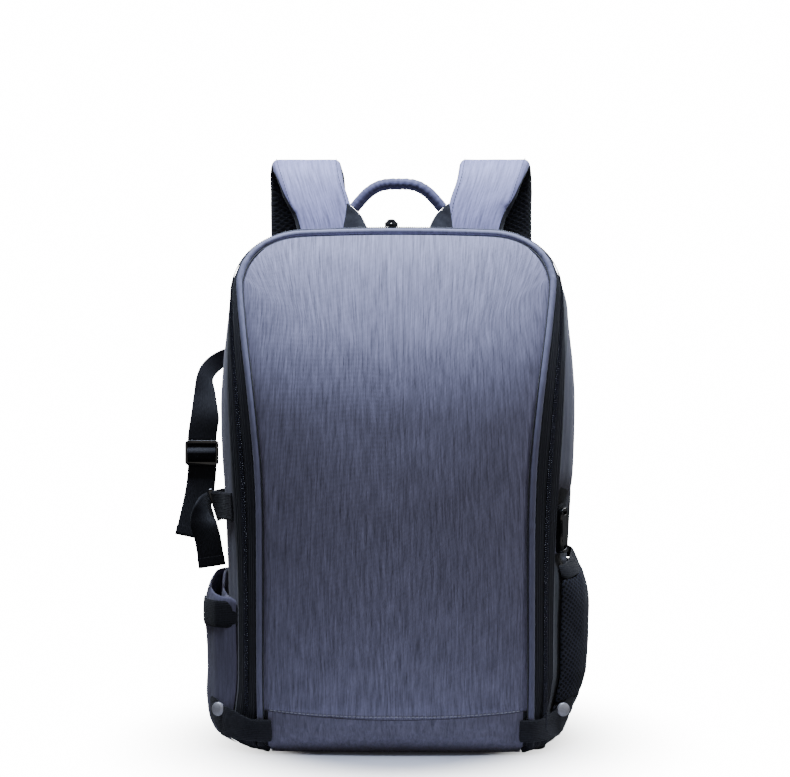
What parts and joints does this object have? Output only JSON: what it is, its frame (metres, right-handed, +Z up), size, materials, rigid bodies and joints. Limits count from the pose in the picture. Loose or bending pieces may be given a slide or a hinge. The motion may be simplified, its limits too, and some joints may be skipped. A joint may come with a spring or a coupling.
{
  "type": "camera backpack",
  "caption": "Tall padded camera backpack with a zipped front panel, side pockets, webbing straps, a wrapped carry handle and two padded shoulder straps",
  "frame": {"origin": "centre of the flat base, on the surface that the bag stands on", "axes": "+X to the right across the front as it is seen, +Y towards the shoulder straps at the back, +Z up"},
  "size_m": [0.3818, 0.2742, 0.5458],
  "materials": {
    "twill": "heathered woven twill, matt",
    "twill_panel": "heathered woven twill with fine upright streaks",
    "twill_base": "heathered woven twill, wrinkled where it turns under",
    "twill_piping": "twill wrapped round a cord",
    "twill_pocket": "heathered woven twill, soft",
    "grip_twill": "twill wrapped round a padded core, wrinkled",
    "strap_twill": "heathered twill face over a padded strap with a black inner face",
    "grey_strap": "grey woven strap",
    "black_tape": "black ribbed tape",
    "zip_chain": "coil zip chain under a woven cover",
    "black_webbing": "black ribbed webbing",
    "mesh": "black stretch mesh",
    "elastic_hem": "black elastic binding",
    "boot_cloth": "coated cloth with a faint sheen",
    "back_mesh": "black spacer mesh over soft padding",
    "black_plastic": "moulded plastic, glossy",
    "pull_rubber": "soft moulded zip pull",
    "slider_metal": "black painted zip slider",
    "rivet_metal": "matt domed rivet"
  },
  "bodies": {
    "root": {"main_shell": "twill", "piping": "twill_piping", "zipper_band": "black_tape", "zipper_chain": "zip_chain", "front_panel": "twill_panel", "bottom_panel": "twill_base", "tripod_pocket": "twill_pocket", "pocket_boot": "boot_cloth", "mesh_pocket": "mesh", "mesh_pocket_hem": "elastic_hem", "corner_strap_left": "black_webbing", "corner_strap_right": "black_webbing", "rivet_left": "rivet_metal", "rivet_right": "rivet_metal", "pocket_strap": "black_webbing", "side_patch": "black_tape", "buckle_tab": "black_webbing", "buckle_strap": "grey_strap", "side_buckle": "black_plastic", "upper_strap": "black_webbing", "tri_glide": "black_plastic", "strap_tab": "black_webbing", "ladder_lock": "black_plastic", "lower_strap": "black_webbing", "lower_strap_end": "black_webbing", "zipper_slider": "slider_metal", "zipper_pull": "pull_rubber", "handle_grip": "grip_twill", "handle_tab_left": "black_webbing", "handle_tab_right": "black_webbing", "shoulder_strap_left": "strap_twill", "shoulder_strap_right": "strap_twill", "strap_adjuster_left": "black_plastic", "strap_adjuster_right": "black_plastic", "strap_webbing_left": "black_webbing", "strap_webbing_right": "black_webbing", "back_pad": "back_mesh"}
  },
  "joints": []
}
